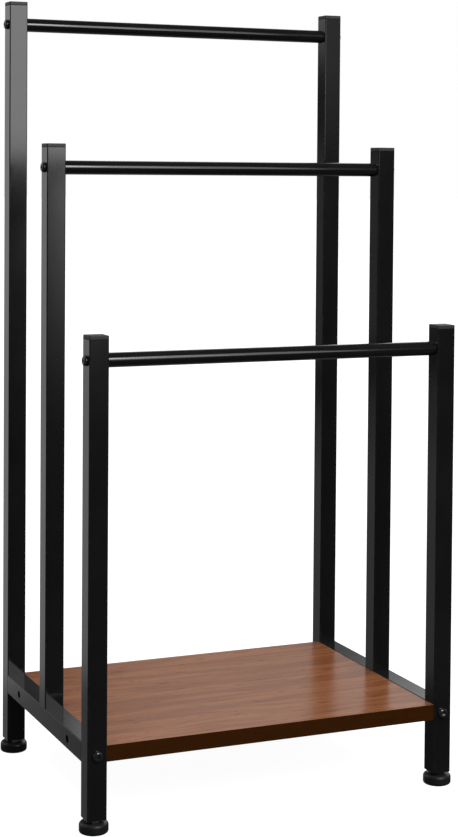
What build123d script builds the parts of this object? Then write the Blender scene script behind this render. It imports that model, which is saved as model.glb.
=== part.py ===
"""Freestanding towel rack: three tiers of square tube posts and round bars over a low wooden shelf.

Millimetres. +X is to the right, -Y is the front, +Z is up. The origin lies on the floor,
below the middle of the rack.
"""

import os

from build123d import *

# Overall sizes
rack_width = 400.0
rack_depth = 290.0
front_top = 482.0
middle_top = 667.0
rear_top = 822.0

# Square tube of the posts and side rails
tube_size = 20.0
tube_wall = 1.2
tube_corner = 1.0
tube_bore_corner = 0.4

# Side rails
rail_top = 86.5

# Towel bars
bar_drop = 24.5
bar_diameter = 14.5
bar_wall = 1.0

# Shelf board and its glued edge bands
board_thickness = 16.0
board_rise = -0.5
board_front_setback = 0.6
board_rear_overrun = 6.0
band_thickness = 0.8

# Post caps
cap_rim_height = 4.0
cap_top_round = 0.7
cap_skirt_depth = 12.0
cap_skirt_wall = 1.6

# Button head bolts that hold the bars, the rails and the middle posts
bolt_diameter = 6.0
bolt_length = 35.0
bolt_head_diameter = 10.5
bolt_head_height = 3.3
bolt_head_round = 2.3
bolt_socket_width = 4.0
bolt_socket_depth = 1.8
bolt_tip_chamfer = 0.7
bolt_hole_clearance = 0.25

# Threaded inserts that the bolts screw into
insert_length = 17.0

# Screws that hold the board, with their access holes in the rails' outer walls
screw_from_rail_end = 42.5
screw_diameter = 4.0
screw_length = 30.0
screw_head_diameter = 7.0
screw_head_height = 2.4
screw_head_round = 1.0
screw_recess_width = 1.1
screw_recess_span = 4.2
screw_recess_depth = 1.3
screw_tip_length = 5.0
screw_tip_diameter = 0.8
access_hole_diameter = 8.0

# Levelling feet
foot_height = 13.5
pad_diameter = 29.0
pad_height = 11.0
pad_top_round = 3.8
pad_base_round = 2.5
pad_socket_depth = 7.5
pivot_to_stem = 0.75
collar_to_stem = 1.5
collar_height = 1.5
stem_length = 27.0
stem_tip_chamfer = 1.0

# Square plug and threaded bush that carry each foot's stem
plug_length = 22.0
plug_wall = 3.6
bush_wall = 1.0
bush_length = 18.0

# Fits
fit_clearance = 0.05
plug_clearance = 0.1
cut_overrun = 1.0

# Values worked out from the sizes above
tube_bore = tube_size - 2 * tube_wall
plug_width = tube_bore - 2 * plug_clearance
bush_diameter = plug_width - 2 * plug_wall - 2 * fit_clearance
bush_bore = bush_diameter - 2 * bush_wall
stem_diameter = bush_bore - 2 * fit_clearance
pivot_diameter = pivot_to_stem * stem_diameter
collar_width = collar_to_stem * stem_diameter
post_x = rack_width / 2 - tube_size / 2
inner_width = rack_width - 2 * tube_size
rail_length = rack_depth - 2 * tube_size
rail_mid_z = rail_top - tube_size / 2
board_top = rail_top + board_rise
board_bottom = board_top - board_thickness
board_front = -rack_depth / 2 + board_front_setback
board_rear = rack_depth / 2 - tube_size + board_rear_overrun
board_mid_y = (board_front + board_rear) / 2
board_depth = board_rear - board_front

sides = {"left": -1, "right": 1}
row_y = {
    "rear": rack_depth / 2 - tube_size / 2,
    "middle": 0.0,
    "front": -rack_depth / 2 + tube_size / 2,
}
row_top = {"rear": rear_top, "middle": middle_top, "front": front_top}
row_bottom = {"rear": foot_height, "middle": rail_top, "front": foot_height}
floor_rows = ("rear", "front")


def write(name, shape):
    """Writes one sub-part to its own file."""
    export_step(shape, os.path.join("parts", name + ".step"))


def rod(diameter, length, start, direction):
    """A round rod that runs from a point along a direction."""
    plane = Plane(origin=start, z_dir=direction)
    return extrude(plane * Circle(diameter / 2), amount=length)


def block(width, depth, height, centre):
    """A plain block about a centre."""
    return Pos(*centre) * Box(width, depth, height)


def square_tube(length, start, direction):
    """A hollow square tube with rounded edges, from a point along a direction."""
    plane = Plane(origin=start, x_dir=(1, 0, 0), z_dir=direction)
    section = RectangleRounded(tube_size, tube_size, tube_corner)
    bore = RectangleRounded(tube_bore, tube_bore, tube_bore_corner)
    return extrude(plane * (section - bore), amount=length)


def through_hole(diameter, centre, direction):
    """A cutter that runs through both walls of a square tube."""
    length = tube_size + 2 * cut_overrun
    start = Vector(*centre) - Vector(*direction) * (length / 2)
    return rod(diameter, length, start, direction)


def bar_height(row):
    """The height of the centre line of a row's bar."""
    return row_top[row] - bar_drop


def post(row, side):
    """One upright tube with the holes for its bolts."""
    x = side * post_x
    y = row_y[row]
    bottom = row_bottom[row]
    hole = bolt_diameter + 2 * bolt_hole_clearance
    tube = square_tube(row_top[row] - cap_rim_height - bottom, (x, y, bottom), (0, 0, 1))
    tube -= through_hole(hole, (x, y, bar_height(row)), (1, 0, 0))
    if row in floor_rows:
        tube -= through_hole(hole, (x, y, rail_mid_z), (0, 1, 0))
    return tube


def screw_places():
    """The places along a rail where screws hold the board."""
    reach = rail_length / 2 - screw_from_rail_end
    return (-reach, reach)


def rail(side):
    """One side rail, bored for the board's screws and for the middle post's bolt."""
    x = side * post_x
    tube = square_tube(rail_length, (x, -rail_length / 2, rail_mid_z), (0, 1, 0))
    bolt_hole = bolt_diameter + 2 * bolt_hole_clearance
    tube -= through_hole(bolt_hole, (x, row_y["middle"], rail_mid_z), (0, 0, 1))
    screw_hole = screw_diameter + 2 * fit_clearance
    for y in screw_places():
        tube -= rod(screw_hole, tube_size, (x, y, rail_mid_z), (-side, 0, 0))
        tube -= rod(access_hole_diameter, tube_size, (x, y, rail_mid_z), (side, 0, 0))
    return tube


def towel_bar(row):
    """A round tube between the inner faces of a row's posts."""
    start = (-inner_width / 2, row_y[row], bar_height(row))
    tube = rod(bar_diameter, inner_width, start, (1, 0, 0))
    return tube - rod(bar_diameter - 2 * bar_wall, inner_width, start, (1, 0, 0))


def bolt(seat, direction):
    """A button head bolt: its head stands on the seat and its shank runs along the direction."""
    plane = Plane(origin=seat, z_dir=direction)
    head = extrude(plane * Circle(bolt_head_diameter / 2), amount=-bolt_head_height)
    crown = head.edges().sort_by(Axis(seat, direction))[0]
    head = fillet(crown, bolt_head_round)
    flat_to_corner = bolt_socket_width / 3**0.5
    socket = plane.offset(-bolt_head_height) * RegularPolygon(flat_to_corner, 6)
    head -= extrude(socket, amount=bolt_socket_depth)
    shank = extrude(plane * Circle(bolt_diameter / 2), amount=bolt_length)
    tip = shank.edges().sort_by(Axis(seat, direction))[-1]
    return head + chamfer(tip, bolt_tip_chamfer)


def bar_bolt(row, side):
    """The bolt through a post into the end of a bar."""
    seat = (side * rack_width / 2, row_y[row], bar_height(row))
    return bolt(seat, (-side, 0, 0))


def rail_bolt(row, side):
    """The bolt through a floor post into the end of a side rail."""
    outward = 1 if row_y[row] > 0 else -1
    seat = (side * post_x, outward * rack_depth / 2, rail_mid_z)
    return bolt(seat, (0, -outward, 0))


def middle_bolt(side):
    """The bolt from below a side rail into the foot of a middle post."""
    return bolt((side * post_x, row_y["middle"], rail_top - tube_size), (0, 0, 1))


def bar_insert(row, side):
    """A threaded round insert in one end of a bar."""
    diameter = bar_diameter - 2 * bar_wall - 2 * fit_clearance
    start = (side * inner_width / 2, row_y[row], bar_height(row))
    body = rod(diameter, insert_length, start, (-side, 0, 0))
    return body - rod(bolt_diameter + 2 * fit_clearance, insert_length, start, (-side, 0, 0))


def square_insert(start, direction, length, bore):
    """A square plug inside a tube's end, with a round bore along it."""
    plane = Plane(origin=start, x_dir=(1, 0, 0), z_dir=direction)
    section = RectangleRounded(plug_width, plug_width, tube_bore_corner)
    body = extrude(plane * section, amount=length)
    return body - rod(bore, length, start, direction)


def rail_insert(row, side):
    """A threaded square insert in one end of a side rail."""
    outward = 1 if row_y[row] > 0 else -1
    start = (side * post_x, outward * rail_length / 2, rail_mid_z)
    return square_insert(start, (0, -outward, 0), insert_length, bolt_diameter + 2 * fit_clearance)


def middle_insert(side):
    """A threaded square insert in the foot of a middle post."""
    start = (side * post_x, row_y["middle"], rail_top)
    return square_insert(start, (0, 0, 1), insert_length, bolt_diameter + 2 * fit_clearance)


def cap(row, side):
    """A cap: a rim on the post's end and a hollow skirt inside the tube."""
    x = side * post_x
    y = row_y[row]
    seat = row_top[row] - cap_rim_height
    outline = RectangleRounded(tube_size, tube_size, tube_corner)
    rim = extrude(Pos(x, y, seat) * outline, amount=cap_rim_height)
    rim = fillet(rim.faces().sort_by(Axis.Z)[-1].edges(), cap_top_round)
    hollow_width = plug_width - 2 * cap_skirt_wall
    skirt = RectangleRounded(plug_width, plug_width, tube_bore_corner)
    skirt -= Rectangle(hollow_width, hollow_width)
    return rim + extrude(Pos(x, y, seat) * skirt, amount=-cap_skirt_depth)


def screw(side, y):
    """A pan head screw from inside a rail into the board, with a crossed recess."""
    seat = (side * (rack_width / 2 - tube_size + tube_wall), y, rail_mid_z)
    direction = (-side, 0, 0)
    plane = Plane(origin=seat, x_dir=(0, 1, 0), z_dir=direction)
    head = extrude(plane * Circle(screw_head_diameter / 2), amount=-screw_head_height)
    crown = head.edges().sort_by(Axis(seat, direction))[0]
    head = fillet(crown, screw_head_round)
    slot = Rectangle(screw_recess_span, screw_recess_width)
    cross = plane.offset(-screw_head_height) * (slot + Rot(0, 0, 90) * slot)
    head -= extrude(cross, amount=screw_recess_depth)
    plain_length = screw_length - screw_tip_length
    shank = extrude(plane * Circle(screw_diameter / 2), amount=plain_length)
    tip_start = plane.offset(plain_length) * Circle(screw_diameter / 2)
    tip_end = plane.offset(screw_length) * Circle(screw_tip_diameter / 2)
    return head + shank + loft(Sketch() + [tip_start, tip_end])


def screw_pilots():
    """Cutters for the screws in the board and its side bands."""
    hole = screw_diameter + 2 * fit_clearance
    length = screw_length + cut_overrun
    cutters = []
    for side in sides.values():
        x = side * (inner_width / 2 + cut_overrun)
        for y in screw_places():
            cutters.append(rod(hole, length, (x, y, rail_mid_z), (-side, 0, 0)))
    return cutters


def board():
    """The shelf's core inside its edge bands."""
    width = inner_width - 2 * band_thickness
    depth = board_depth - 2 * band_thickness
    centre_z = (board_top + board_bottom) / 2
    return block(width, depth, board_thickness, (0, board_mid_y, centre_z)) - screw_pilots()


def side_band(side):
    """The band on one side edge, bored for the screws."""
    x = side * (inner_width / 2 - band_thickness / 2)
    centre_z = (board_top + board_bottom) / 2
    strip = block(band_thickness, board_depth, board_thickness, (x, board_mid_y, centre_z))
    return strip - screw_pilots()


def cross_band(y):
    """The band on the front or the rear edge, between the side bands."""
    width = inner_width - 2 * band_thickness
    centre_z = (board_top + board_bottom) / 2
    return block(width, band_thickness, board_thickness, (0, y, centre_z))


def foot_plug(row, side):
    """The square plug in a floor post's lower end."""
    start = (side * post_x, row_y[row], foot_height)
    return square_insert(start, (0, 0, 1), plug_length, bush_diameter + 2 * fit_clearance)


def foot_bush(row, side):
    """The threaded bush in the middle of a foot plug."""
    start = (side * post_x, row_y[row], foot_height)
    body = rod(bush_diameter, bush_length, start, (0, 0, 1))
    return body - rod(bush_bore, bush_length, start, (0, 0, 1))


def foot_stem(row, side):
    """A foot's threaded stem, with the hexagonal collar that turns it and the pivot in the pad."""
    x = side * post_x
    y = row_y[row]
    pivot_bottom = pad_height - pad_socket_depth + fit_clearance
    stem = rod(pivot_diameter, pad_height - pivot_bottom, (x, y, pivot_bottom), (0, 0, 1))
    corner_radius = collar_width / 3**0.5
    stem += extrude(Pos(x, y, pad_height) * RegularPolygon(corner_radius, 6), amount=collar_height)
    thread = rod(stem_diameter, stem_length, (x, y, pad_height + collar_height), (0, 0, 1))
    return stem + chamfer(thread.edges().sort_by(Axis.Z)[-1], stem_tip_chamfer)


def foot_pad(row, side):
    """A foot's round pad, with the socket for its stem."""
    x = side * post_x
    y = row_y[row]
    pad = rod(pad_diameter, pad_height, (x, y, 0), (0, 0, 1))
    pad = fillet(pad.edges().sort_by(Axis.Z)[-1], pad_top_round)
    pad = fillet(pad.edges().sort_by(Axis.Z)[0], pad_base_round)
    socket_diameter = pivot_diameter + 2 * fit_clearance
    return pad - rod(socket_diameter, pad_socket_depth, (x, y, pad_height), (0, 0, -1))


os.makedirs("parts", exist_ok=True)

# Posts, caps and bars
for row in row_y:
    for side_name, side in sides.items():
        write(f"post_{row}_{side_name}", post(row, side))
        write(f"cap_{row}_{side_name}", cap(row, side))
    write(f"towel_bar_{row}", towel_bar(row))

# Side rails
for side_name, side in sides.items():
    write(f"rail_{side_name}", rail(side))

# Bolts and the inserts that they screw into
pairs = [(row, side) for row in row_y for side in sides.values()]
floor_pairs = [(row, side) for row, side in pairs if row in floor_rows]
write("bar_bolts", Compound([bar_bolt(row, side) for row, side in pairs]))
write("bar_inserts", Compound([bar_insert(row, side) for row, side in pairs]))
write("rail_bolts", Compound([rail_bolt(row, side) for row, side in floor_pairs]))
write("rail_inserts", Compound([rail_insert(row, side) for row, side in floor_pairs]))
write("middle_post_bolts", Compound([middle_bolt(side) for side in sides.values()]))
write("middle_post_inserts", Compound([middle_insert(side) for side in sides.values()]))

# Shelf
write("shelf_board", board())
write("edge_band_front", cross_band(board_front + band_thickness / 2))
write("edge_band_rear", cross_band(board_rear - band_thickness / 2))
for side_name, side in sides.items():
    write(f"edge_band_{side_name}", side_band(side))
write("shelf_screws", Compound([screw(side, y) for side in sides.values() for y in screw_places()]))

# Feet
write("foot_plugs", Compound([foot_plug(row, side) for row, side in floor_pairs]))
write("foot_bushes", Compound([foot_bush(row, side) for row, side in floor_pairs]))
for row in floor_rows:
    for side_name, side in sides.items():
        write(f"foot_stem_{row}_{side_name}", foot_stem(row, side))
        write(f"foot_pad_{row}_{side_name}", foot_pad(row, side))
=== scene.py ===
"""Looks of a freestanding towel rack: painted square tube, round bars, a wooden shelf and
screw-in feet. The file is laid out as a Blender add-on and run as a script."""

import math

import bmesh
import bpy
from mathutils import Matrix, Vector


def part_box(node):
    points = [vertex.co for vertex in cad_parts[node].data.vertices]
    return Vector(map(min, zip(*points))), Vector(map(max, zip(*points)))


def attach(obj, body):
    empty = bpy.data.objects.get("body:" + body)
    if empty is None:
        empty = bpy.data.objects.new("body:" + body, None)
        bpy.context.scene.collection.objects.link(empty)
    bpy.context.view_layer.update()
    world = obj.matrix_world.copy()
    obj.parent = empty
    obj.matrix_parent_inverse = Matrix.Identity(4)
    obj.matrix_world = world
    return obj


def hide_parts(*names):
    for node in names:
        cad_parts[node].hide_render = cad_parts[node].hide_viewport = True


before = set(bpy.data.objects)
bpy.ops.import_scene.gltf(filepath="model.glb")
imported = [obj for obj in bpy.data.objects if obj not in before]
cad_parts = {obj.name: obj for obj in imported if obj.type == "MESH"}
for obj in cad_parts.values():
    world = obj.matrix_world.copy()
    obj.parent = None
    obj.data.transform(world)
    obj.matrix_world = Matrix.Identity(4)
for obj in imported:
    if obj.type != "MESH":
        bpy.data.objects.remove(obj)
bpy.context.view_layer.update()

bl_info = {
    "name": "Freestanding Towel Rack",
    "version": (1, 0, 0),
    "blender": (4, 5, 0),
    "location": "3D View > Sidebar > Towel Rack",
    "description": "Dresses the frame of a three-tier towel rack with its paint, wood and plastic",
    "category": "Object",
}

MM = 0.001
ROWS = ("rear", "middle", "front")
FLOOR_ROWS = ("rear", "front")
SIDES = ("left", "right")


# What the frame says about the rack's sizes, in metres


def box_centre(node):
    low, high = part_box(node)
    return (low + high) / 2


def box_size(node):
    low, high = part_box(node)
    return high - low


POST_X = abs(box_centre("post_rear_left").x)
POST_Y = box_centre("post_rear_left").y
RAIL_Z = box_centre("rail_left").z
TUBE = box_size("post_rear_left").x


# Sizes of the feet's stems, in metres

STEM_RADIUS = 4.0 * MM
PIVOT_RADIUS = 0.75 * STEM_RADIUS
COLLAR_HEIGHT = 1.5 * MM
STEM_EDGE = 0.2 * MM
STEM_TIP = 1.0 * MM


# Where the thread's crest and its root start and end, in shares of the pitch

THREAD_CREST = (0.0, 0.125)
THREAD_ROOT = (0.4375, 0.6875)


# How finely the stems are drawn

THREAD_STEPS = 30
PIVOT_STEPS = 36
COLLAR_STEPS = 6
SAME_PLACE = 1e-6
CREASE = math.radians(28.0)


# Refractive indices, so how much of the room each finish mirrors

TUBE_COAT = 1.5
RAIL_COAT = 1.36
BOLT_FINISH = 1.9
PLASTIC = 1.47
LACQUER = 1.19


# The stage, in metres but for the camera's sensor in millimetres

WHITE = (1.0, 1.0, 1.0, 1.0)
FLOOR_RADIUS = 40.0
FLOOR_STEPS = 96
SENSOR_WIDTH = 36.0


# The softbox's panels: name, share of its brightness, edges along X, edges along Z, and Y

SOFTBOX_PANELS = (
    ("softbox_cloth", 1.0, (0.05, 1.24), (0.668, 2.15), -2.30),
    ("softbox_middle", 1.0, (0.05, 0.92), (0.668, 2.15), -2.29),
    ("softbox_heart", 4.0, (0.05, 0.69), (1.12, 1.95), -2.28),
)


# Power of a panel for each square metre and each unit of brightness, in watts

PANEL_POWER = 4.0


# Shader maths: sockets that take part in Python expressions


class Flow:
    """One output of a shader tree. Arithmetic on it adds Math nodes."""

    def __init__(self, recipe, socket):
        self.recipe = recipe
        self.socket = socket

    def math(self, operation, *values):
        return self.recipe.node("ShaderNodeMath", {"operation": operation}, dict(enumerate(values)))

    def __add__(self, other):
        return self.math("ADD", self, other)

    __radd__ = __add__

    def __mul__(self, other):
        return self.math("MULTIPLY", self, other)

    __rmul__ = __mul__

    def __sub__(self, other):
        return self.math("SUBTRACT", self, other)

    def __rsub__(self, other):
        return self.math("SUBTRACT", other, self)

    def __truediv__(self, other):
        return self.math("DIVIDE", self, other)

    def __neg__(self):
        return self * -1.0

    def __abs__(self):
        return self.math("ABSOLUTE", self)

    def least(self, other):
        return self.math("MINIMUM", self, other)

    def most(self, other):
        return self.math("MAXIMUM", self, other)

    def step(self, low, high):
        """0 below low, 1 above high and smooth between them."""
        return self.recipe.node(
            "ShaderNodeMapRange",
            {"interpolation_type": "SMOOTHSTEP"},
            {"Value": self, "From Min": low, "From Max": high, "To Min": 0.0, "To Max": 1.0},
        )


class Recipe:
    """The node tree of one material or of the world."""

    def __init__(self, owner):
        owner.use_nodes = True
        self.tree = owner.node_tree
        self.tree.nodes.clear()

    def node(self, kind, settings=None, values=None, output=0):
        """Adds a node: first its settings, then the values or links of its sockets."""
        made = self.tree.nodes.new(kind)
        for name, setting in (settings or {}).items():
            setattr(made, name, setting)
        for name, value in (values or {}).items():
            if isinstance(value, Flow):
                self.tree.links.new(value.socket, made.inputs[name])
            else:
                made.inputs[name].default_value = value
        return None if output is None else Flow(self, made.outputs[output])

    def place(self, stretch=(1.0, 1.0, 1.0)):
        """Where a point of the surface is on its own object, in millimetres, stretched by axis."""
        spot = self.node("ShaderNodeTexCoord", output="Object")
        size = tuple(s / MM for s in stretch)
        return self.node("ShaderNodeVectorMath", {"operation": "MULTIPLY"}, {0: spot, 1: size})

    def parts(self, vector):
        """The three numbers of a vector."""
        split = self.node("ShaderNodeSeparateXYZ", values={"Vector": vector}).socket.node
        return [Flow(self, socket) for socket in split.outputs]

    def vector(self, x, y, z):
        return self.node("ShaderNodeCombineXYZ", values={"X": x, "Y": y, "Z": z})

    def noise(self, place, scale, detail=2.0, roughness=0.5):
        """Smooth noise about 0.5, with its cells 1 / scale millimetres across."""
        sockets = {"Vector": place, "Scale": scale, "Detail": detail, "Roughness": roughness}
        return self.node("ShaderNodeTexNoise", values=sockets)

    def blend(self, share, first, second):
        """The first colour where share is 0 and the second where it is 1."""
        settings = {"data_type": "RGBA", "clamp_factor": True}
        return self.node("ShaderNodeMix", settings, {0: share, 6: first, 7: second}, output=2)

    def facing_up(self, low, high):
        """1 where the surface's normal rises by more than high and 0 where by less than low."""
        facing = self.node("ShaderNodeNewGeometry", output="Normal")
        return self.parts(facing)[2].step(low, high)

    def bump(self, height, depth, strength):
        """A surface normal from a height between 0 and 1, with its depth in millimetres."""
        sockets = {"Height": height, "Distance": depth * MM, "Strength": strength}
        return self.node("ShaderNodeBump", values=sockets)

    def finish(self, **sockets):
        """Ends a material in one glossy surface. Spaces in socket names are written as _."""
        values = {name.replace("_", " "): value for name, value in sockets.items()}
        surface = self.node("ShaderNodeBsdfPrincipled", values=values)
        self.node("ShaderNodeOutputMaterial", values={"Surface": surface}, output=None)


def colour(shade):
    """A colour setting as the four numbers that a socket takes."""
    return (shade[0], shade[1], shade[2], 1.0)


def scaled(shade, factor):
    """A colour setting made lighter or darker."""
    return tuple(min(1.0, part * factor) for part in shade[:3]) + (1.0,)


# The settings that a user would change


def shade_setting(name, description, default):
    return bpy.props.FloatVectorProperty(
        name=name,
        description=description,
        default=default,
        subtype="COLOR",
        size=3,
        min=0.0,
        max=1.0,
    )


def share_setting(name, description, default):
    return bpy.props.FloatProperty(
        name=name,
        description=description,
        default=default,
        subtype="FACTOR",
        min=0.0,
        max=1.0,
    )


def length_setting(name, description, default):
    return bpy.props.FloatProperty(
        name=name,
        description=description,
        default=default,
        subtype="DISTANCE",
        unit="LENGTH",
    )


class RackPaint(bpy.types.PropertyGroup):
    """Paint of the tubes, bars and bolts."""

    shade: shade_setting("Paint", "Colour of the powder coat", (0.0062, 0.0062, 0.0064))
    rubbed: shade_setting("Rubbed paint", "Colour along worn edges", (0.020, 0.020, 0.021))
    gloss_loss: share_setting("Roughness", "Roughness of the powder coat", 0.085)
    peel: share_setting("Orange peel", "Strength of the coat's fine waviness", 0.10)
    bolt_shade: shade_setting("Bolts", "Colour of the blackened bolts", (0.010, 0.010, 0.011))
    zinc_shade: shade_setting("Zinc", "Colour of the zinc plated steel", (0.56, 0.57, 0.58))


class RackPlastic(bpy.types.PropertyGroup):
    """Plastic of the caps, feet and plugs."""

    cap_shade: shade_setting("Caps", "Colour of the post caps", (0.020, 0.020, 0.020))
    foot_shade: shade_setting("Feet", "Colour of the round feet", (0.009, 0.009, 0.009))
    plug_shade: shade_setting("Plugs", "Colour of the plugs in the posts", (0.012, 0.012, 0.012))
    grain: share_setting("Grain", "Strength of the moulded grain", 0.25)


class RackThread(bpy.types.PropertyGroup):
    """Thread on the stems of the feet."""

    pitch: length_setting("Pitch", "Rise of the thread in one turn", 1.25 * MM)
    depth: length_setting("Depth", "Depth of the thread", 0.76 * MM)


class RackWood(bpy.types.PropertyGroup):
    """Wood of the shelf."""

    shade: shade_setting("Wood", "Colour of the board's veneer", (0.222, 0.082, 0.032))
    streak: shade_setting("Streaks", "Colour of the darker streaks", (0.146, 0.049, 0.018))
    pore: shade_setting("Pores", "Colour of the short dark pores", (0.066, 0.021, 0.007))
    band_shade: shade_setting("Edge band", "Colour of the band's sides", (0.039, 0.0118, 0.0016))
    gloss_loss: share_setting("Roughness", "Roughness of the lacquer", 0.20)


class RackStage(bpy.types.PropertyGroup):
    """Camera, lights and floor."""

    eye: bpy.props.FloatVectorProperty(
        name="Camera place",
        description="Where the camera stands",
        default=(-0.76397, -1.79054, 0.64062),
        unit="LENGTH",
        subtype="XYZ",
        size=3,
    )
    turn: bpy.props.FloatVectorProperty(
        name="Camera turn",
        description="Yaw to the right, pitch upwards and roll",
        default=tuple(math.radians(angle) for angle in (23.2692, -1.8662, 0.4230)),
        unit="ROTATION",
        subtype="EULER",
        size=3,
    )
    lens: bpy.props.FloatProperty(
        name="Lens",
        description="Focal length in millimetres on a 36 mm sensor",
        default=78.549,
    )
    rise: bpy.props.FloatProperty(
        name="Lens shift",
        description="Vertical shift of the lens, in frame heights",
        default=-0.22521,
    )
    overhead: bpy.props.FloatProperty(
        name="Overhead light",
        description="Strength of the wide light above the rack",
        default=3.3,
    )
    softbox: bpy.props.FloatProperty(
        name="Softbox",
        description="Brightness of the softbox at the front right",
        default=1.75,
    )
    floor_shade: shade_setting("Floor", "Colour of the floor", (0.22, 0.22, 0.22))
    floor_glow: share_setting("Floor light", "Brightness of the unlit floor", 0.95)


# Finishes


def tube_corner(first, second):
    """1 along the corners of a square tube and 0 on its faces, from a point's two distances to
    the tube's middle in millimetres."""
    face = TUBE / MM / 2
    wear_starts = face - 1.9
    wear_is_full = face - 0.5
    return first.least(second).step(wear_starts, wear_is_full)


def post_corner(x, y, z):
    """Corners of the upright tubes, which stand in three rows on both sides."""
    return tube_corner(abs(x - POST_X / MM), y.least(abs(y - POST_Y / MM)))


def rail_corner(x, y, z):
    """Corners of the two rails, which lie low on both sides."""
    return tube_corner(abs(x - POST_X / MM), abs(z - RAIL_Z / MM))


def paint(name, index, corner_of=None):
    """Black powder coat: fine orange peel, soft cloudy gloss, specks of dust and rubbed edges.
    Index is its refractive index, and corner_of tells a tube's corners from a point's distances
    to the rack's middle."""
    look = bpy.context.scene.rack_paint
    material = bpy.data.materials.new(name)
    recipe = Recipe(material)
    place = recipe.place()
    clouds = recipe.noise(place, scale=0.018, detail=3.0)
    peel = recipe.noise(place, scale=0.85)
    specks = recipe.noise(place, scale=0.60, detail=1.0).step(0.74, 0.80)
    dust = specks * (0.10 + 0.25 * recipe.facing_up(0.6, 0.95))
    cloudy = clouds.step(0.30, 0.70)
    shade = recipe.blend(cloudy, scaled(look.shade, 0.86), scaled(look.shade, 1.14))
    shade = recipe.blend(dust, shade, scaled(look.shade, 7.0))
    roughness = look.gloss_loss + 0.05 * (clouds - 0.5) + 0.10 * specks
    if corner_of is not None:
        corner = corner_of(*[abs(part) for part in recipe.parts(place)])
        wear = recipe.noise(place, scale=0.11, detail=4.0, roughness=0.6).step(0.42, 0.66)
        worn = corner * wear
        shade = recipe.blend(worn * 0.55, shade, colour(look.rubbed))
        roughness = roughness + 0.05 * worn
    recipe.finish(
        Base_Color=shade,
        Roughness=roughness,
        Normal=recipe.bump(peel, depth=0.02, strength=look.peel),
        IOR=index,
    )
    return material


def moulded(name, shade, roughness, grain, seams=()):
    """Moulded black plastic: a fine even grain, slightly patchy gloss and pale handling marks.
    Seams are the heights at which the plastic sits down on something; along each one a painted
    shade line darkens and roughens it, standing in for the shadow in the gap there."""
    material = bpy.data.materials.new(name)
    recipe = Recipe(material)
    place = recipe.place()
    texture = recipe.noise(place, scale=2.4, detail=3.0, roughness=0.6)
    patches = recipe.noise(place, scale=0.10, detail=3.0)
    drawn_out = recipe.place((1.0, 1.0, 0.2))
    marks = recipe.noise(drawn_out, scale=0.35, detail=4.0, roughness=0.7).step(0.64, 0.76)
    tone = recipe.blend(patches, scaled(shade, 0.80), scaled(shade, 1.25))
    tone = recipe.blend(marks * 0.18, tone, scaled(shade, 4.0))
    gloss_loss = roughness + 0.10 * (patches - 0.5) + 0.10 * marks
    # Painted shade: a thin dark, rougher line at each seam height stands in for the shadow in the
    # gap
    for seam in seams:
        distance = abs(recipe.parts(place)[2] - seam / MM)
        painted_seam_shade = 1.0 - distance.step(0.30, 0.85)
        tone = recipe.blend(painted_seam_shade, tone, scaled(shade, 0.1))
        gloss_loss = gloss_loss + 0.5 * painted_seam_shade
    recipe.finish(
        Base_Color=tone,
        Roughness=gloss_loss,
        Normal=recipe.bump(texture, depth=0.05, strength=grain),
        IOR=PLASTIC,
    )
    return material


def blackened_bolt():
    """Black bolt steel: a fine unevenness and a little bare metal where a key has rubbed."""
    look = bpy.context.scene.rack_paint
    material = bpy.data.materials.new("blackened bolt steel")
    recipe = Recipe(material)
    place = recipe.place()
    uneven = recipe.noise(place, scale=3.0)
    rubs = recipe.noise(place, scale=0.9, detail=4.0, roughness=0.65).step(0.58, 0.72)
    tone = recipe.blend(rubs * 0.4, colour(look.bolt_shade), scaled(look.bolt_shade, 5.0))
    recipe.finish(
        Base_Color=tone,
        Metallic=0.35 * rubs,
        Roughness=0.13 + 0.05 * rubs,
        Normal=recipe.bump(uneven, depth=0.02, strength=0.2),
        IOR=BOLT_FINISH,
    )
    return material


def zinc_plate():
    """Zinc plated steel: bright, with a faint yellow bloom and drawn lines."""
    look = bpy.context.scene.rack_paint
    material = bpy.data.materials.new("zinc plated steel")
    recipe = Recipe(material)
    bloom = recipe.noise(recipe.place(), scale=0.16, detail=3.0)
    lines = recipe.noise(recipe.place((1.0, 1.0, 0.06)), scale=4.0)
    red, green, blue = look.zinc_shade
    yellowed = (red, green * 0.94, blue * 0.78, 1.0)
    tone = recipe.blend(bloom.step(0.35, 0.70), colour(look.zinc_shade), yellowed)
    recipe.finish(
        Base_Color=tone,
        Metallic=1.0,
        Roughness=0.26 + 0.14 * bloom,
        Normal=recipe.bump(lines, depth=0.02, strength=0.3),
    )
    return material


def wood_tone(recipe, light, streak, pore):
    """Wood colour with its grain along X, and where the pores and the hairs are. Each layer of
    the grain is a cut through the noise at a height of its own."""
    wander = recipe.noise(recipe.place((0.006, 0.012, 0.012)), scale=1.0)
    x, y, z = recipe.parts(recipe.place())
    sideways = y + z + 26.0 * wander

    def grain(along, across, height, detail=2.0, roughness=0.5):
        spot = recipe.vector(x * along, sideways * across, height)
        return recipe.noise(spot, 1.0, detail, roughness)

    belts = grain(along=0.004, across=0.055, height=3.0)
    lines = grain(along=0.009, across=0.17, height=7.0, detail=3.0, roughness=0.6)
    hairs = grain(along=0.035, across=1.9, height=11.0, detail=3.0, roughness=0.6)
    pores = grain(along=0.075, across=1.15, height=17.0).step(0.66, 0.76)
    flecks = grain(along=0.032, across=0.23, height=23.0, roughness=0.6)
    tone = recipe.blend(belts.step(0.42, 0.60) * 0.70, light, streak)
    tone = recipe.blend(lines.step(0.52, 0.58) * 0.75, tone, streak)
    tone = recipe.blend(hairs.step(0.46, 0.72) * 0.20, tone, pore)
    tone = recipe.blend(flecks.step(0.64, 0.67) * 0.80, tone, pore)
    tone = recipe.blend(pores * 0.45, tone, pore)
    return tone, pores, hairs


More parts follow.
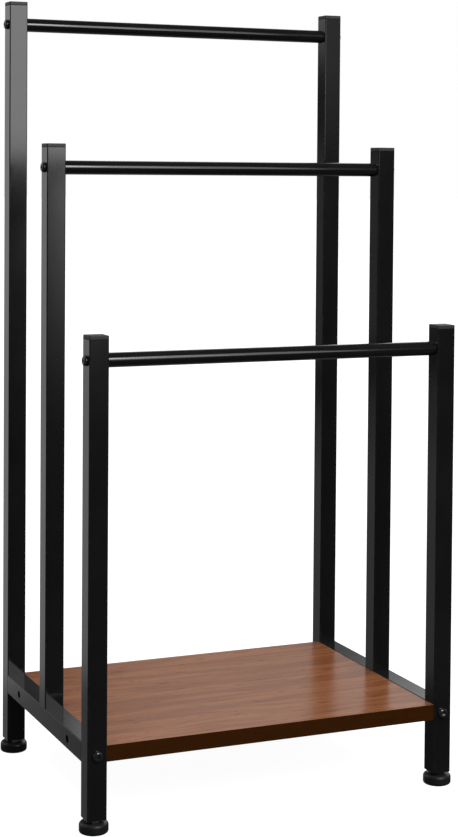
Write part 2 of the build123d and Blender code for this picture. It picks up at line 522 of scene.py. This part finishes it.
def veneer(name, look, side_shade=None):
    """Lacquered wood veneer: belts, lines, hairs, flecks and pores along X under a thin gloss.
    The sides of an edge band are darker than its upper edge."""
    material = bpy.data.materials.new(name)
    recipe = Recipe(material)
    shades = [colour(shade) for shade in (look.shade, look.streak, look.pore)]
    tone, pores, hairs = wood_tone(recipe, *shades)
    gloss_loss = look.gloss_loss
    if side_shade is not None:
        dark = hairs.step(0.40, 0.70)
        side = recipe.blend(dark, scaled(side_shade, 1.1), scaled(side_shade, 0.7))
        tone = recipe.blend(recipe.facing_up(0.6, 0.9), side, tone)
        gloss_loss += 0.10
    relief = 1.0 - 0.8 * pores - 0.2 * hairs
    ripple = recipe.noise(recipe.place(), scale=0.05)
    recipe.finish(
        Base_Color=tone,
        Roughness=gloss_loss + 0.06 * hairs + 0.08 * (ripple - 0.5) + 0.10 * pores,
        Normal=recipe.bump(relief, depth=0.03, strength=0.18),
        IOR=LACQUER,
    )
    return material


# Shapes made here in place of plainer ones in the frame


def put_ring(shape, radius, z, count, first_angle=0.0):
    """Corners of a level ring round the Z axis."""
    angles = [first_angle + 2 * math.pi * i / count for i in range(count)]
    return [shape.verts.new((radius * math.cos(a), radius * math.sin(a), z)) for a in angles]


def lathe(shape, outline, count, first_angle=0.0):
    """A closed solid round the Z axis from (radius, height) pairs."""
    rings = [put_ring(shape, radius, z, count, first_angle) for radius, z in outline]
    for low, high in zip(rings, rings[1:]):
        for i in range(count):
            j = (i + 1) % count
            shape.faces.new((low[i], low[j], high[j], high[i]))
    shape.faces.new(reversed(rings[0]))
    shape.faces.new(rings[-1])


def cut_thread(shape, depth, pitch, bottom, top):
    """The stem's metric thread round the Z axis, with flat crests and roots. It runs out at the
    bottom and has a bevelled tip at the top."""
    root = STEM_RADIUS - depth
    outline = (*THREAD_CREST, *THREAD_ROOT)
    turns = math.ceil((top - bottom) / pitch)
    levels = [turn + height for turn in range(-1, turns + 1) for height in outline]
    columns = []
    for i in range(THREAD_STEPS + 1):
        angle = 2 * math.pi * i / THREAD_STEPS
        column = []
        for number, level in enumerate(levels):
            z = min(max(bottom + pitch * (level + i / THREAD_STEPS), bottom), top)
            on_crest = number % len(outline) < len(THREAD_CREST)
            run_out = root + (z - bottom)
            bevel = STEM_RADIUS - STEM_TIP + (top - z)
            out = min(STEM_RADIUS if on_crest else root, run_out, bevel)
            column.append(shape.verts.new((out * math.cos(angle), out * math.sin(angle), z)))
        columns.append(column)
    for left, right in zip(columns, columns[1:]):
        for j in range(len(levels) - 1):
            shape.faces.new((left[j], right[j], right[j + 1], left[j + 1]))
    shape.faces.new([column[0] for column in columns[:-1]])
    shape.faces.new([column[-1] for column in columns[:-1]])


def make_stem(row, side, thread):
    """A foot's threaded stem with its pivot and hexagonal collar, in place of the frame's."""
    node = f"foot_stem_{row}_{side}"
    low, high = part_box(node)
    middle = ((low.x + high.x) / 2, (low.y + high.y) / 2, 0.0)
    along_x = high.x - low.x
    along_y = high.y - low.y
    corner = max(along_x, along_y) / 2
    first_corner = 0.0 if along_x > along_y else math.pi / COLLAR_STEPS
    pad_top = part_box(f"foot_pad_{row}_{side}")[1].z
    collar_top = pad_top + COLLAR_HEIGHT
    pivot_outline = (
        (PIVOT_RADIUS - STEM_EDGE, low.z),
        (PIVOT_RADIUS, low.z + STEM_EDGE),
        (PIVOT_RADIUS, pad_top + STEM_EDGE),
    )
    collar_outline = (
        (corner - STEM_EDGE, pad_top),
        (corner, pad_top + STEM_EDGE),
        (corner, collar_top - STEM_EDGE),
        (corner - STEM_EDGE, collar_top),
    )
    shape = bmesh.new()
    lathe(shape, pivot_outline, PIVOT_STEPS)
    lathe(shape, collar_outline, COLLAR_STEPS, first_corner)
    cut_thread(shape, thread.depth, thread.pitch, collar_top - STEM_EDGE, high.z)
    bmesh.ops.remove_doubles(shape, verts=shape.verts, dist=SAME_PLACE)
    bmesh.ops.dissolve_degenerate(shape, edges=shape.edges, dist=SAME_PLACE)
    bmesh.ops.recalc_face_normals(shape, faces=shape.faces)
    bmesh.ops.translate(shape, verts=shape.verts, vec=middle)
    mesh = bpy.data.meshes.new(f"threaded_stem_{row}_{side}")
    shape.to_mesh(mesh)
    shape.free()
    mesh.shade_smooth()
    mesh.set_sharp_from_angle(angle=CREASE)
    stem = bpy.data.objects.new(mesh.name, mesh)
    bpy.context.scene.collection.objects.link(stem)
    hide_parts(node)
    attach(stem, f"stem_{row}_{side}")
    return stem


def wear(node, material):
    """Gives a frame node its finish."""
    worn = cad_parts[node]
    for slot in worn.material_slots:
        slot.material = material


def leave_unmirrored(nodes):
    """Keeps frame nodes out of the mirror images on the paint, where the photograph doesn't
    show them either. They are seen and lit as usual."""
    for node in nodes:
        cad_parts[node].visible_glossy = False


# The studio that the paint mirrors, as brightness by direction


def patch(sideways, upward, near=None, far=None, foot=None, top=None):
    """1 on a patch of the studio and 0 beyond its edges. An edge is a pair, where it starts and
    where it ends, and the patch is open on a side that has none."""
    edges = []
    if near is not None:
        edges.append(sideways.step(*near))
    if far is not None:
        edges.append(1.0 - sideways.step(*far))
    if foot is not None:
        edges.append(upward.step(*foot))
    if top is not None:
        edges.append(1.0 - upward.step(*top))
    inside = edges[0]
    for edge in edges[1:]:
        inside = inside * edge
    return inside


def studio_behind(x, y, z):
    """Behind the rack stand a bright wall to the left, a dim one beyond it with a dark slanting
    seam, and a tall pale one to the right, over a dim floor with a shadow on it. Leftward and
    rise are how far left and up a direction goes for each metre back."""
    back = y.most(0.05)
    leftward = -(x / back)
    rise = z / back

    wall = patch(leftward, rise, (0.10, 0.20), (0.37, 0.42), (-0.308, -0.284), (0.30, 0.60))
    wall = wall * (0.60 + 1.15 * z) * (1.0 - 0.24 * leftward.step(0.28, 0.34))

    beyond = leftward.step(0.38, 0.44)
    seam = abs(rise - 0.20 * leftward + 0.226).step(0.008, 0.024)
    dim = 0.025 + 0.09 * (1.0 - rise.step(0.005, 0.025)) + 0.55 * rise.step(0.055, 0.095)
    dim = dim + 0.09 * (1.0 - rise.step(-0.190, -0.150))
    dim = beyond * dim * (0.05 + 0.95 * seam) * rise.step(-0.328, -0.312)

    tall = 0.02 * x.step(0.20, 0.36) + 0.40 * x.step(0.42, 0.48)
    tall = tall + 1.55 * x.step(0.28, 0.34) * z.step(0.267, 0.297)
    tall = tall * patch(x, z, foot=(0.10, 0.22), top=(0.45, 0.75))

    shadow = patch(leftward, rise, near=(0.31, 0.345), top=(-0.300, -0.268))
    floor = 0.14 + 0.05 * (1.0 - rise.step(-0.17, -0.13)) - 0.10 * shadow
    floor = floor * (1.0 - beyond) * patch(x, z, far=(0.35, 0.60), top=(0.12, 0.30))
    return wall + dim + tall + floor


def studio_before(x, y, z):
    """Before the rack it is dark but for a glow below the softbox, with a strip of light along
    its left, and a faint glow beside the softbox. Rightward and lift are how far right and up a
    direction goes for each metre forward."""
    forward = (-y).most(0.05)
    rightward = x / forward
    lift = z / forward

    fade = lift.step(-0.16, 0.0)
    glow = 2.25 * patch(rightward, lift, near=(0.318, 0.324), far=(0.37, 0.50)) * fade * fade
    strip = patch(rightward, lift, near=(0.316, 0.320), far=(0.328, 0.342))
    strip = strip * (0.45 * lift.step(-0.17, -0.08) + 0.40 * lift.step(-0.05, -0.01))
    below = (glow + strip) * (1.0 - lift.step(-0.006, 0.004))
    beside = patch(rightward, lift, (0.42, 0.47), (0.52, 0.60), (0.0, 0.066), (0.50, 0.80))
    return below + 0.38 * beside


# Operators, one for each piece or group of like pieces


class RACK_OT_tubes(bpy.types.Operator):
    """Paint the posts, the side rails and the towel bars"""

    bl_idname = "towel_rack.tubes"
    bl_label = "Posts, Rails and Bars"

    def execute(self, context):
        upright = paint("painted upright tube", TUBE_COAT, post_corner)
        low = paint("painted rail tube", RAIL_COAT, rail_corner)
        round_tube = paint("painted round tube", TUBE_COAT)
        for row in ROWS:
            wear(f"towel_bar_{row}", round_tube)
            for side in SIDES:
                wear(f"post_{row}_{side}", upright)
        for side in SIDES:
            wear(f"rail_{side}", low)
        leave_unmirrored([f"towel_bar_{row}" for row in ROWS])
        return {"FINISHED"}


class RACK_OT_caps(bpy.types.Operator):
    """Finish the plastic caps on the posts"""

    bl_idname = "towel_rack.caps"
    bl_label = "Post Caps"

    def execute(self, context):
        look = context.scene.rack_plastic
        # The tops of the posts, where each cap gets its painted shade line for the gap's shadow
        post_tops = [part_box(f"post_{row}_left")[1].z for row in ROWS]
        plastic = moulded("moulded cap plastic", look.cap_shade, 0.48, look.grain, post_tops)
        for row in ROWS:
            for side in SIDES:
                wear(f"cap_{row}_{side}", plastic)
        return {"FINISHED"}


class RACK_OT_fasteners(bpy.types.Operator):
    """Finish the bolts, the threaded inserts and the shelf's screws"""

    bl_idname = "towel_rack.fasteners"
    bl_label = "Bolts, Inserts and Screws"

    def execute(self, context):
        black = blackened_bolt()
        zinc = zinc_plate()
        for node in ("bar_bolts", "rail_bolts", "middle_post_bolts"):
            wear(node, black)
        for node in ("bar_inserts", "rail_inserts", "middle_post_inserts", "shelf_screws"):
            wear(node, zinc)
        return {"FINISHED"}


class RACK_OT_shelf(bpy.types.Operator):
    """Finish the wooden shelf and the bands on its edges"""

    bl_idname = "towel_rack.shelf"
    bl_label = "Shelf"

    def execute(self, context):
        look = context.scene.rack_wood
        board = veneer("lacquered veneer", look)
        band = veneer("edge band veneer", look, look.band_shade)
        wear("shelf_board", board)
        bands = [f"edge_band_{side}" for side in ("front", "rear", "left", "right")]
        for node in bands:
            wear(node, band)
        leave_unmirrored(["shelf_board", *bands])
        return {"FINISHED"}


class RACK_OT_feet(bpy.types.Operator):
    """Finish the feet: plugs, bushes and pads, and stems with a real thread"""

    bl_idname = "towel_rack.feet"
    bl_label = "Levelling Feet"

    def execute(self, context):
        look = context.scene.rack_plastic
        thread = context.scene.rack_thread
        pad = moulded("moulded foot plastic", look.foot_shade, 0.42, look.grain)
        plug = moulded("moulded plug plastic", look.plug_shade, 0.42, look.grain)
        black = blackened_bolt()
        wear("foot_plugs", plug)
        wear("foot_bushes", zinc_plate())
        for row in FLOOR_ROWS:
            for side in SIDES:
                wear(f"foot_pad_{row}_{side}", pad)
                make_stem(row, side, thread).data.materials.append(black)
        return {"FINISHED"}


class RACK_OT_stage(bpy.types.Operator):
    """Set up the floor, the lights, the surroundings and the camera"""

    bl_idname = "towel_rack.stage"
    bl_label = "Stage"

    def execute(self, context):
        look = context.scene.rack_stage
        context.scene.view_settings.view_transform = "Standard"
        self.lay_floor(look)
        self.hang_lights(look)
        self.paint_surroundings(context.scene)
        self.set_camera(context.scene, look)
        return {"FINISHED"}

    def lay_floor(self, look):
        mesh = bpy.data.meshes.new("studio_floor")
        outline = bmesh.new()
        bmesh.ops.create_circle(
            outline, cap_ends=True, radius=FLOOR_RADIUS, segments=FLOOR_STEPS
        )
        outline.to_mesh(mesh)
        outline.free()
        floor = bpy.data.objects.new("studio_floor", mesh)
        bpy.context.scene.collection.objects.link(floor)
        material = bpy.data.materials.new("pale floor")
        recipe = Recipe(material)
        mottle = recipe.noise(recipe.place(), scale=0.004)
        shade = look.floor_shade
        tone = recipe.blend(mottle, scaled(shade, 0.98), scaled(shade, 1.02))
        recipe.finish(
            Base_Color=tone,
            Roughness=0.9,
            Emission_Color=WHITE,
            Emission_Strength=look.floor_glow,
            Specular_IOR_Level=0.0,
        )
        mesh.materials.append(material)
        floor.visible_diffuse = False
        floor.visible_glossy = False
        floor.visible_shadow = False

    def hang_lights(self, look):
        sun = bpy.data.lights.new("overhead_light", "SUN")
        sun.energy = look.overhead
        sun.angle = math.radians(75.0)
        overhead = bpy.data.objects.new("overhead_light", sun)
        overhead.rotation_euler = (math.radians(14.0), math.radians(4.0), 0.0)
        overhead.visible_glossy = False
        overhead.visible_camera = False
        bpy.context.scene.collection.objects.link(overhead)
        for name, share, across, upward, y in SOFTBOX_PANELS:
            self.hang_panel(name, look.softbox * share, across, upward, y)

    def hang_panel(self, name, brightness, across, upward, y):
        """An upright panel of light that faces the rack, from its edges along X and Z."""
        panel = bpy.data.lights.new(name, "AREA")
        panel.shape = "RECTANGLE"
        panel.size = across[1] - across[0]
        panel.size_y = upward[1] - upward[0]
        panel.energy = brightness * PANEL_POWER * panel.size * panel.size_y
        hung = bpy.data.objects.new(name, panel)
        hung.location = (sum(across) / 2, y, sum(upward) / 2)
        hung.rotation_euler = Vector((0.0, 1.0, 0.0)).to_track_quat("-Z", "Y").to_euler()
        hung.visible_camera = False
        bpy.context.scene.collection.objects.link(hung)

    def paint_surroundings(self, scene):
        """The studio is there for mirror images and light. The camera sees plain white."""
        world = bpy.data.worlds.new("studio walls")
        scene.world = world
        recipe = Recipe(world)
        x, y, z = recipe.parts(recipe.node("ShaderNodeTexCoord", output="Generated"))
        behind = y.step(0.0, 0.35) * studio_behind(x, y, z)
        before = (1.0 - y.step(-0.35, 0.0)) * studio_before(x, y, z)
        light = 0.05 + behind + before
        room = recipe.node("ShaderNodeBackground", values={"Color": WHITE, "Strength": light})
        white = recipe.node("ShaderNodeBackground", values={"Color": WHITE, "Strength": 1.0})
        seen = recipe.node("ShaderNodeLightPath", output="Is Camera Ray")
        both = recipe.node("ShaderNodeMixShader", values={0: seen, 1: room, 2: white})
        recipe.node("ShaderNodeOutputWorld", values={"Surface": both}, output=None)

    def set_camera(self, scene, look):
        data = bpy.data.cameras.new("photo_camera")
        data.sensor_width = SENSOR_WIDTH
        data.lens = look.lens
        data.shift_y = look.rise
        data.clip_start = 0.05
        data.clip_end = 120.0
        camera = bpy.data.objects.new("photo_camera", data)
        yaw, pitch, roll = look.turn
        flat = Vector((math.sin(yaw), math.cos(yaw), 0.0))
        ahead = flat * math.cos(pitch) + Vector((0.0, 0.0, math.sin(pitch)))
        right = Vector((math.cos(yaw), -math.sin(yaw), 0.0))
        above = right.cross(ahead)
        rolled_right = right * math.cos(roll) + above * math.sin(roll)
        rolled_above = above * math.cos(roll) - right * math.sin(roll)
        turned = Matrix((rolled_right, rolled_above, -ahead)).transposed()
        camera.matrix_world = Matrix.Translation(look.eye) @ turned.to_4x4()
        scene.collection.objects.link(camera)
        scene.camera = camera


STEPS = (
    RACK_OT_tubes,
    RACK_OT_caps,
    RACK_OT_fasteners,
    RACK_OT_shelf,
    RACK_OT_feet,
    RACK_OT_stage,
)


class RACK_PT_sidebar(bpy.types.Panel):
    """Steps that dress the towel rack"""

    bl_idname = "RACK_PT_sidebar"
    bl_label = "Towel Rack"
    bl_space_type = "VIEW_3D"
    bl_region_type = "UI"
    bl_category = "Towel Rack"

    def draw(self, context):
        for step in STEPS:
            self.layout.operator(step.bl_idname)


SETTINGS = {
    "rack_paint": RackPaint,
    "rack_plastic": RackPlastic,
    "rack_thread": RackThread,
    "rack_wood": RackWood,
    "rack_stage": RackStage,
}
CLASSES = (*SETTINGS.values(), *STEPS, RACK_PT_sidebar)


def register():
    for made in CLASSES:
        bpy.utils.register_class(made)
    for name, group in SETTINGS.items():
        setattr(bpy.types.Scene, name, bpy.props.PointerProperty(type=group))


def unregister():
    for name in SETTINGS:
        delattr(bpy.types.Scene, name)
    for made in reversed(CLASSES):
        bpy.utils.unregister_class(made)


def main():
    register()
    bpy.ops.towel_rack.tubes()
    bpy.ops.towel_rack.caps()
    bpy.ops.towel_rack.fasteners()
    bpy.ops.towel_rack.shelf()
    bpy.ops.towel_rack.feet()
    bpy.ops.towel_rack.stage()
    bpy.context.view_layer.update()


if __name__ == "__main__":
    main()
